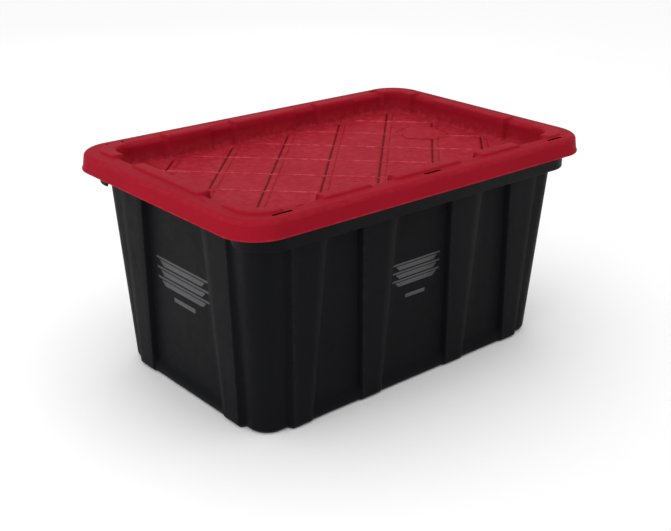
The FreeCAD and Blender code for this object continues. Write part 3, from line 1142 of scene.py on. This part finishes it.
@dataclass
class Lid:
    """Snap lid: flared skirt, flat band, stacking pads and a deep relief panel."""

    half: tuple[float, float] = (388.5, 259.0)
    corner: float = 65.0
    corner_loss: float = 0.709
    skirt_foot: float = 358.0
    band: float = 388.0
    pad_top: float = 392.0
    sheet: float = 2.6
    panel: float = 350.0
    slot_x: float = 308.0
    slot_y: float = 235.5
    slot_half: tuple[float, float] = (18.5, 3.0)
    bead_half: tuple[float, float] = (364.7, 250.2)
    guard: float = 64.0
    # the lighter red serves the pad tops, the skirt's foot, the band's edge and the painted highlight on the
    # ridge crowns
    finish: MouldedPlastic = MouldedPlastic(
        "lid_red_plastic", colour=(0.296, 0.0078, 0.0185), deep=(0.243, 0.0058, 0.0145),
        worn_and_highlit=(0.50, 0.065, 0.085), roughness=0.42, specular=0.01, ripple=True)
    path: Path = field(init=False)

    def __post_init__(self) -> None:
        """Set the stations out: the first weight is 1 on a pad and 0 in a gap."""
        pad, gap = (1.0, 0.0, 0.0), (0.0, 0.0, 0.0)
        long_edges = [Edge(p, p, *w) for p, w in (
            (73.8, (pad, gap)), (125.9, (gap, pad)), (222.2, (pad, gap)), (300.0, (gap, pad)))]
        end_edges = [Edge(p, p, *w) for p, w in ((94.8, (pad, gap)), (157.0, (gap, pad)))]
        self.path = Path(long_edges=long_edges, end_edges=end_edges, corner=pad, middle=pad,
                         run=8.0, soft=0.35, edge_count=13)

    def row(self, gap: tuple[float, float], pad: tuple[float, float] | None = None) -> np.ndarray:
        """Row given as (inset, height) in a gap and on a pad.

        Args:
            gap: place of the row where there is no pad.
            pad: place of the row on a pad, or None where both agree.

        Returns:
            The row's points.
        """
        pad = pad or gap
        share = self.path.weight[:, 0]
        inset = gap[0] + (pad[0] - gap[0]) * share
        z = gap[1] + (pad[1] - gap[1]) * share
        mid = (gap[0] + pad[0]) / 2
        radius = self.corner - self.corner_loss * pad[0]
        half = (self.half[0] - mid, self.half[1] - mid)
        reach_radius = radius + (pad[0] - mid)
        return self.path.ring(half, reach_radius, z, inset - mid)

    def fixed_row(self, half: tuple[float, float], radius: float, z: float) -> np.ndarray:
        """Row on a plain rounded rectangle."""
        return self.path.ring(half, radius, z)

    def under_rows(self) -> list[np.ndarray]:
        """Rows of the underside, from the panel out to the skirt's foot.

        Returns:
            The rows, in order.
        """
        t, low = self.sheet, self.panel - self.sheet
        rows = [self.row((self.guard, low))]
        gap = [(49.0, low), (45.6, 348.5), (43.3, 351.5), (41.6, 376.0), (39.6, 381.6), (36.8, 384.6),
               (33.0, 385.4), (31.0, 385.4), (30.0, 385.4), (28.0, 385.4), (26.0, 385.4)]
        pad = [(60.0, low), (56.6, 348.5), (54.3, 351.5), (52.6, 384.0), (51.8, 387.2), (49.8, 388.9),
               (46.0, 389.4), (36.0, 389.4), (33.4, 388.4), (31.9, 385.9), (30.0, 385.4)]
        rows += [self.row(g, p) for g, p in zip(gap, pad)]
        rows += [self.row((22.0, self.band - t)), self.row((13.0, self.band - t))]
        rows += [self.row(p) for p in arc((11.4, 380.2), 7.8 - t, 90.0, 180.0, 5)]
        hx, hy = self.bead_half
        rows += [self.row((5.5, 374.6)), self.fixed_row((hx + 0.8, hy + 0.8), 61.0, 373.4),
                 self.fixed_row((hx, hy), 60.2, 372.4), self.fixed_row((hx, hy), 60.2, 370.6),
                 self.fixed_row((hx + 0.8, hy + 0.8), 61.0, 369.4), self.row((5.0, 368.2)),
                 self.row((3.4, 359.0)), self.row((3.0, 358.3))]
        return rows

    def over_rows(self) -> list[np.ndarray]:
        """Rows of the outside, from the skirt's foot over the band to the panel.

        Returns:
            The rows, in order.
        """
        rows = [self.row(p) for p in ((2.5, 358.0), (0.8, 358.0), (0.2, 358.3), (0.0, 359.0), (0.0, 360.4),
                                      (0.3, 361.0), (0.8, 361.5), (1.2, 362.2), (1.5, 364.0), (2.6, 372.0))]
        rows += [self.row(p) for p in arc((11.4, 380.2), 7.8, 180.0, 90.0, 10)]
        rows += [self.row((15.0, self.band)), self.row((26.5, self.band))]
        top, band = self.pad_top, self.band
        pad = [(27.5, band), (28.6, band + 0.5), (29.6, band + 1.8), (30.7, band + 3.1), (32.2, band + 3.8),
               (34.5, top), (44.0, top), (48.5, top - 0.2), (51.3, top - 1.0), (53.3, top - 2.4),
               (54.6, top - 4.3), (55.0, top - 6.5), (55.4, 378.0)]
        gap = [(27.5, band), (28.6, band), (29.6, band), (30.7, band), (32.2, band),
               (33.4, band), *[(33.4 + 10.6 * math.sin(a), 377.4 + 10.6 * math.cos(a))
                               for a in np.radians((18, 36, 52, 66, 78, 90))], (44.3, 372.0)]
        pad += [(56.7, 355.5)]
        gap += [(45.7, 355.5)]
        for a in np.radians((22.5, 45.0, 67.5, 90.0)):
            drop, run = 5.5 * math.sin(a), 5.5 * (1 - math.cos(a))
            pad.append((56.8 + run, 355.5 - drop))
            gap.append((45.8 + run, 355.5 - drop))
        rows += [self.row(g, p) for g, p in zip(gap, pad)]
        rows.append(self.row((self.guard, self.panel)))
        return rows

    def build(self) -> bpy.types.Object:
        """Mesh the lid, cut its tie slots, lay the relief panel and dress it.

        Returns:
            The finished lid.
        """
        rows = self.under_rows() + self.over_rows()
        points, faces = skin_rows(rows)
        lid = mesh_object("lid_shell", points, faces, crease=38.0)
        carve(lid, self.slot_cutters(), "DIFFERENCE")
        relief = Relief(ring=rows[-1][:, :2], level=self.panel)
        relief.lay(lid.data)
        smooth(lid.data, 38.0)
        self._mark_zones(lid.data, relief)
        lid.data.materials.clear()
        lid.data.materials.append(self.finish.material())
        return lid

    def slot_cutters(self) -> bpy.types.Object:
        """Cutters for the tie slots and for the short ticks on the band.

        Returns:
            One object that holds every cutter.
        """
        slot = rounded_box(self.slot_half, self.slot_half[1] - 0.1)
        parts = [prism(moved(slot, x, y), self.band - 8.0, self.band + 4.0)
                 for x in (-self.slot_x, 0.0, self.slot_x) for y in (-self.slot_y, self.slot_y)]
        for s in (-1, 1):
            parts.append(prism(moved(rounded_box((8.0, 0.8), 0.7), s * 268.0, s * 226.0),
                               self.band - 0.6, self.band + 3.0))
            parts.append(prism(moved(rounded_box((8.0, 0.8), 0.7), s * 366.0, s * 119.0, 90.0),
                               self.band - 0.6, self.band + 3.0))
        return mesh_object("slot_cutter", *merged(parts))

    def _with_slot_shade(self, mesh: bpy.types.Mesh, values: np.ndarray) -> np.ndarray:
        """Spread vertex values to the face corners and set 1 on the walls of the tie slots, where shade is
        painted.

        Args:
            mesh: the lid mesh.
            values: one value for each vertex.

        Returns:
            One value for each face corner.
        """
        out = []
        for face in mesh.polygons:
            x, y, z = (c / MM for c in face.center)
            near = min(abs(abs(x) - self.slot_x), abs(x))
            in_slot = (near < self.slot_half[0] + 0.2
                       and abs(abs(y) - self.slot_y) < self.slot_half[1] + 0.2
                       and abs(face.normal.z) < 0.5)
            # painted shade on the slot walls below the band
            deep = in_slot and self.band - self.sheet - 0.6 < z < self.band
            out += [1.0 if deep else values[i] for i in face.vertices]
        return np.array(out)

    def _mark_zones(self, mesh: bpy.types.Mesh, relief: Relief) -> None:
        """Store where the lid is lighter (pad tops, skirt's foot, band edge, and painted highlight on the
        ridge crowns), where painted shade darkens the cuts and tie slots, and where it is rippled.

        Args:
            mesh: the lid mesh.
            relief: the panel that was laid.
        """
        co = np.empty(len(mesh.vertices) * 3)
        mesh.vertices.foreach_get("co", co)
        co = co.reshape(-1, 3) / MM
        z = co[:, 2]
        inside = np.abs(co[:, 0]) < self.half[0] - self.guard + 2
        inside &= np.abs(co[:, 1]) < self.half[1] - self.guard + 2
        on_panel = inside & (z > self.panel - 2.6) & (z < self.panel + 2.0)
        store(mesh, "panel", on_panel.astype(float))
        # painted shade in the panel's cuts, darker the deeper they go below the panel
        cut = on_panel * np.clip((self.panel - 0.5 - z) / 1.2, 0.0, 1.0)
        store(mesh, "cut_shade", self._with_slot_shade(mesh, cut), "CORNER")
        wear_and_highlight = np.where(z > self.pad_top - 1.2, 0.12, 0.0) + np.where(z < self.skirt_foot + 2.6, 0.25, 0.0)
        # painted highlight along the ridge crowns
        wear_and_highlight += 0.8 * on_panel * relief.ridge(co[:, 0], co[:, 1])
        outer = (z > 381.0) & (z < 387.2) & ~inside
        store(mesh, "wear_and_highlight", np.clip(wear_and_highlight + np.where(outer, 0.1, 0.0), 0.0, 1.0))


# ---------------------------------------------------------------- marks


@dataclass
class FaceMark:
    """Plain stamped mark: a stack of three trays over a short bar."""

    side: Side
    size: tuple[float, float]
    tub: Tub
    node: str
    middle: float = 210.0
    bar: float = 166.0
    film: float = 0.25
    finish: StampedFilm = StampedFilm(
        "mark_grey_film", colour=(0.040, 0.040, 0.043), thin=(0.024, 0.024, 0.026))

    def _patch(self, foot: float, head: float, low: float, high: float) -> list[tuple[float, float]]:
        """Trapezoid with small rounded corners, seen face on.

        Args:
            foot: width at the foot.
            head: width at the head.
            low: height of the foot.
            high: height of the head.

        Returns:
            The outline.
        """
        corners = [(-foot / 2, low), (foot / 2, low), (head / 2, high), (-head / 2, high)]
        radius, out = min(1.6, (high - low) * 0.3), []
        for k, corner in enumerate(corners):
            p = np.array(corner)
            a, b = np.array(corners[k - 1]), np.array(corners[(k + 1) % 4])
            start = p + (a - p) / np.linalg.norm(a - p) * radius
            stop = p + (b - p) / np.linalg.norm(b - p) * radius
            for t in np.linspace(0, 1, 5):
                out.append(tuple((1 - t) ** 2 * start + 2 * t * (1 - t) * p + t * t * stop))
        return out

    def outlines(self) -> list[list[tuple[float, float]]]:
        """The mark's patches, seen face on.

        Returns:
            The outlines.
        """
        width, height = self.size
        rows, out = 3, []
        pitch = height / rows
        for row in range(rows):
            foot = self.middle - height / 2 + row * pitch
            lid = foot + pitch * 0.62
            out.append(self._patch(width * 0.74, width * 0.88, foot, lid - pitch * 0.1))
            out.append(self._patch(width, width, lid, lid + pitch * 0.22))
        half = height * 0.3 / 4
        out.append(self._patch(width * 0.42, width * 0.42, self.bar - half, self.bar + half))
        return out

    def build(self) -> bpy.types.Object:
        """Lay the film on the set-back panel of its side.

        Returns:
            The finished mark.
        """
        axis = self.side.value % 2
        foot = self.tub.foot_half[0 if axis else 1] - self.tub.panel_in[0]
        rise = self.tub.draft[0 if axis else 1] - (self.tub.panel_in[1] - self.tub.panel_in[0])
        slope = rise / self.tub.rim_top
        parts = []
        for outline in self.outlines():
            ring = np.array(outline)
            rows = []
            for proud, shrink in ((-0.15, 0.0), (self.film * 0.6, 0.0), (self.film, 0.25)):
                centre = ring.mean(axis=0)
                away = ring - centre
                flat = centre + away * (1.0 - shrink / np.linalg.norm(away, axis=1, keepdims=True))
                y = -(foot + slope * flat[:, 1]) - proud
                rows.append(np.c_[flat[:, 0], y, flat[:, 1]])
            parts.append(skin_rows(rows))
        points, faces = merged(parts)
        turn = Matrix.Rotation(self.side.value * math.pi / 2, 3, "Z")
        points = points @ np.array(turn.transposed())
        mark = mesh_object(self.node + "_film", points, faces, crease=45.0)
        mark.data.materials.append(self.finish.material())
        return mark


# ---------------------------------------------------------------- studio


@dataclass
class Studio:
    """Pale floor, soft lights and the camera."""

    target: Triple = (0.0, 0.0, 0.18)
    azimuth: float = -40.85
    elevation: float = 22.32
    roll: float = 0.41
    distance: float = 2.0146
    shift_right: float = 0.0017
    shift_up: float = 0.02719
    lens: float = 58.94

    def camera(self) -> bpy.types.Object:
        """Place the camera round the target.

        Returns:
            The scene's camera.
        """
        a, e = math.radians(self.azimuth), math.radians(self.elevation)
        back = Vector((math.sin(a) * math.cos(e), -math.cos(a) * math.cos(e), math.sin(e)))
        right = Vector((0, 0, 1)).cross(back).normalized()
        up = back.cross(right)
        r = math.radians(self.roll)
        right, up = right * math.cos(r) + up * math.sin(r), up * math.cos(r) - right * math.sin(r)
        place = Vector(self.target) + back * self.distance - right * self.shift_right - up * self.shift_up
        data = bpy.data.cameras.new("camera")
        data.lens, data.sensor_width = self.lens, 36.0
        data.clip_end = 50.0
        cam = bpy.data.objects.new("camera", data)
        cam.matrix_world = Matrix((
            (right.x, up.x, back.x, place.x), (right.y, up.y, back.y, place.y),
            (right.z, up.z, back.z, place.z), (0, 0, 0, 1)))
        bpy.context.scene.collection.objects.link(cam)
        bpy.context.scene.camera = cam
        return cam

    def light(self, name: str, place: Triple, size: tuple[float, float], power: float,
              aim: Triple = (0.0, 0.0, 0.2)) -> None:
        """Add one soft box.

        Args:
            name: light name.
            place: where it hangs.
            size: its width and height in metres.
            power: its power in watts.
            aim: the point it faces.
        """
        data = bpy.data.lights.new(name, "AREA")
        data.shape, data.size, data.size_y, data.energy = "RECTANGLE", size[0], size[1], power
        lamp = bpy.data.objects.new(name, data)
        lamp.location = place
        lamp.rotation_euler = (Vector(place) - Vector(aim)).to_track_quat("Z", "Y").to_euler()
        bpy.context.scene.collection.objects.link(lamp)

    def floor(self) -> None:
        """Lay a wide pale floor under the bin."""
        mesh = bpy.data.meshes.new("studio_floor")
        r = 30.0
        mesh.from_pydata([(-r, -r, 0), (r, -r, 0), (r, r, 0), (-r, r, 0)], [], [(0, 1, 2, 3)])
        mesh.materials.append(StudioPaper("studio_paper", (0.93, 0.93, 0.93)).material())
        obj = bpy.data.objects.new("studio_floor", mesh)
        bpy.context.scene.collection.objects.link(obj)

    def build(self) -> None:
        """Set the whole studio up."""
        self.floor()
        self.camera()
        self.light("key_overhead", (-0.3, 0.0, 2.4), (2.6, 2.2), 7.0)
        self.light("fill_left", (-2.4, -0.3, 0.8), (1.4, 1.2), 14.0)
        self.light("rim_back", (1.0, 2.5, 1.6), (2.2, 1.2), 4.0)
        self.air()
        bpy.context.scene.view_settings.view_transform = "Standard"

    def air(self, low: float = 0.42, rise: float = 0.90) -> None:
        """Fill the air with light that is stronger overhead, over a plain white backdrop.

        Args:
            low: brightness at the horizon.
            rise: how much brighter it is straight up.
        """
        world = bpy.data.worlds.new("studio_air")
        world.use_nodes = True
        tree = world.node_tree
        split = tree.nodes.new("ShaderNodeSeparateXYZ")
        tree.links.new(tree.nodes.new("ShaderNodeTexCoord").outputs["Generated"], split.inputs[0])
        level = tree.nodes.new("ShaderNodeMapRange")
        tree.links.new(split.outputs["Z"], level.inputs["Value"])
        level.inputs["To Min"].default_value = low
        level.inputs["To Max"].default_value = low + rise
        clear = tree.nodes.new("ShaderNodeMath")
        clear.operation = "MAXIMUM"
        tree.links.new(level.outputs["Result"], clear.inputs[0])
        tree.links.new(tree.nodes.new("ShaderNodeLightPath").outputs["Is Camera Ray"], clear.inputs[1])
        back = tree.nodes["Background"]
        back.inputs["Color"].default_value = (1.0, 1.0, 1.0, 1.0)
        tree.links.new(clear.outputs[0], back.inputs["Strength"])
        bpy.context.scene.world = world


def dress(obj: bpy.types.Object, body: str, slot: Slot, *nodes: str) -> None:
    """Tie a finished piece to its body, hide its CAD nodes, and report it.

    Args:
        obj: the piece.
        body: the body it rides on.
        slot: not used.
        *nodes: the CAD nodes it stands for.
    """
    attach(obj, body)
    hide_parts(*nodes)
    triangles = sum(len(p.vertices) - 2 for p in obj.data.polygons)
    log.info("%s on %s: %d triangles", obj.name, body, triangles)


def main() -> None:
    """Build the bin and its studio."""
    tub = Tub()
    dress(tub.build(), "tub", Slot.TUB, "tub")
    dress(Lid().build(), "lid", Slot.LID, "lid")
    marks = ((Side.FRONT, (110.0, 45.0), "mark_front"), (Side.RIGHT, (150.0, 55.0), "mark_right"),
             (Side.BACK, (110.0, 45.0), "mark_back"), (Side.LEFT, (150.0, 55.0), "mark_left"))
    for side, size, node in marks:
        dress(FaceMark(side, size, tub, node).build(), "tub", Slot.MARK, node)
    Studio().build()
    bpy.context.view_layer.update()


if __name__ == "__main__":
    main()
